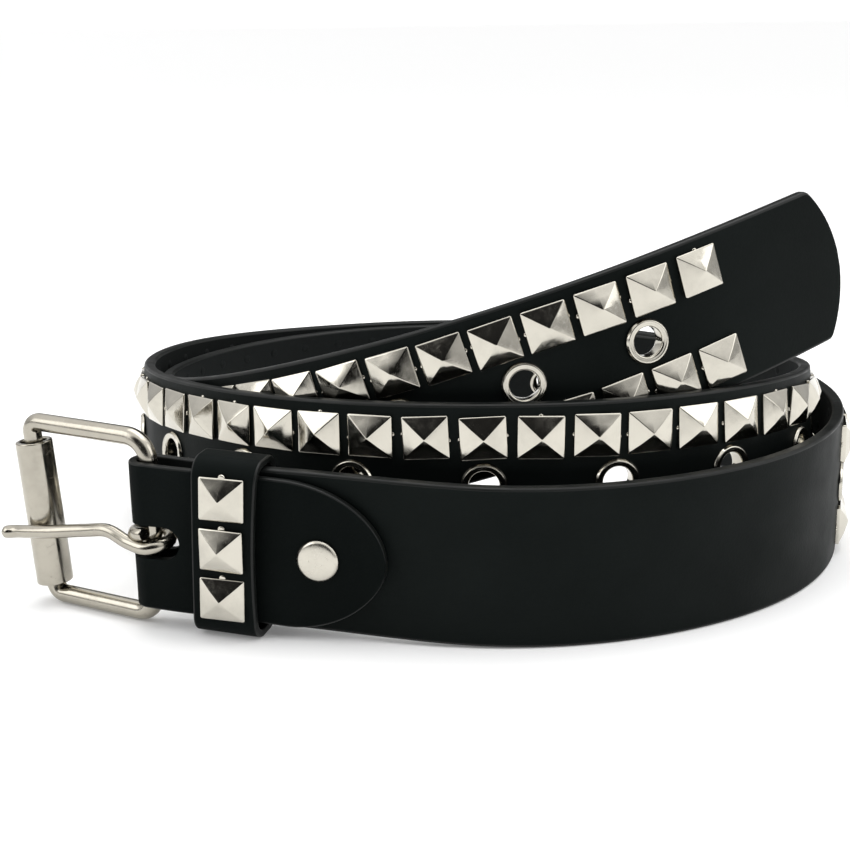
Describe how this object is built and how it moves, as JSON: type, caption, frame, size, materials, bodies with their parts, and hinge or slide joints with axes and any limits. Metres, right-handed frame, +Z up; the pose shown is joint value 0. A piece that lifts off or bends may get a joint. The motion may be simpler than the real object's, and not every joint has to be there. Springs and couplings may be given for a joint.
{
  "type": "studded waist belt",
  "caption": "Dark leather waist belt coiled on its edge, with pyramid studs in two rows, a line of eyelets, a riveted chape, a studded keeper and a roller buckle.",
  "frame": {"origin": "under the middle of the coiled belt's bounding box, on the surface that it stands on", "axes": "+Z is up, +X runs along the coil from the buckle towards the tail's tip, and the buckle end faces -Y"},
  "size_m": [0.219, 0.184, 0.0977],
  "materials": {
    "strap_leather": "smooth coated black leather with a soft sheen; its studs, which are one solid with it here, are polished nickel",
    "chape_leather": "thin black coated leather, semi-matt",
    "stud_metal": "polished nickel plate",
    "eyelet_metal": "polished nickel plate",
    "snap_metal": "polished nickel plate, slightly domed",
    "buckle_metal": "nickel-plated wire, bright with soft wear"
  },
  "bodies": {
    "belt": {"strap": "strap_leather", "eyelet_01": "eyelet_metal", "eyelet_02": "eyelet_metal", "eyelet_03": "eyelet_metal", "eyelet_04": "eyelet_metal", "eyelet_05": "eyelet_metal", "eyelet_06": "eyelet_metal", "eyelet_07": "eyelet_metal", "eyelet_08": "eyelet_metal", "eyelet_09": "eyelet_metal", "eyelet_10": "eyelet_metal", "eyelet_11": "eyelet_metal", "eyelet_12": "eyelet_metal", "eyelet_13": "eyelet_metal", "eyelet_14": "eyelet_metal", "eyelet_15": "eyelet_metal", "eyelet_16": "eyelet_metal", "eyelet_17": "eyelet_metal", "eyelet_18": "eyelet_metal", "eyelet_19": "eyelet_metal", "eyelet_20": "eyelet_metal", "eyelet_21": "eyelet_metal", "eyelet_22": "eyelet_metal", "eyelet_23": "eyelet_metal", "eyelet_24": "eyelet_metal", "eyelet_25": "eyelet_metal", "eyelet_26": "eyelet_metal", "eyelet_27": "eyelet_metal", "eyelet_28": "eyelet_metal", "eyelet_29": "eyelet_metal", "eyelet_30": "eyelet_metal", "eyelet_31": "eyelet_metal", "eyelet_32": "eyelet_metal", "eyelet_33": "eyelet_metal", "eyelet_34": "eyelet_metal", "eyelet_35": "eyelet_metal", "chape": "chape_leather", "snap": "snap_metal", "keeper": "chape_leather", "keeper_stud_1": "stud_metal", "keeper_stud_2": "stud_metal", "keeper_stud_3": "stud_metal"},
    "frame": {"buckle_frame": "buckle_metal"},
    "roller": {"roller": "buckle_metal"},
    "tongue": {"tongue": "buckle_metal"}
  },
  "joints": [
    {"name": "frame_swing", "type": "hinge", "parent": "belt", "child": "frame", "pos_m": [-0.07005, -0.07501, 0.0241], "axis": [0, 0, 1], "range_deg": [-20, 40]},
    {"name": "tongue_swing", "type": "hinge", "parent": "frame", "child": "tongue", "pos_m": [-0.07005, -0.07501, 0.0241], "axis": [0, 0, 1], "range_deg": [0, 70]},
    {"name": "roller_spin", "type": "hinge", "parent": "frame", "child": "roller", "pos_m": [-0.09929, -0.0597, 0.0241], "axis": [-0.0813, 0.0426, 0.9958], "continuous": true}
  ]
}
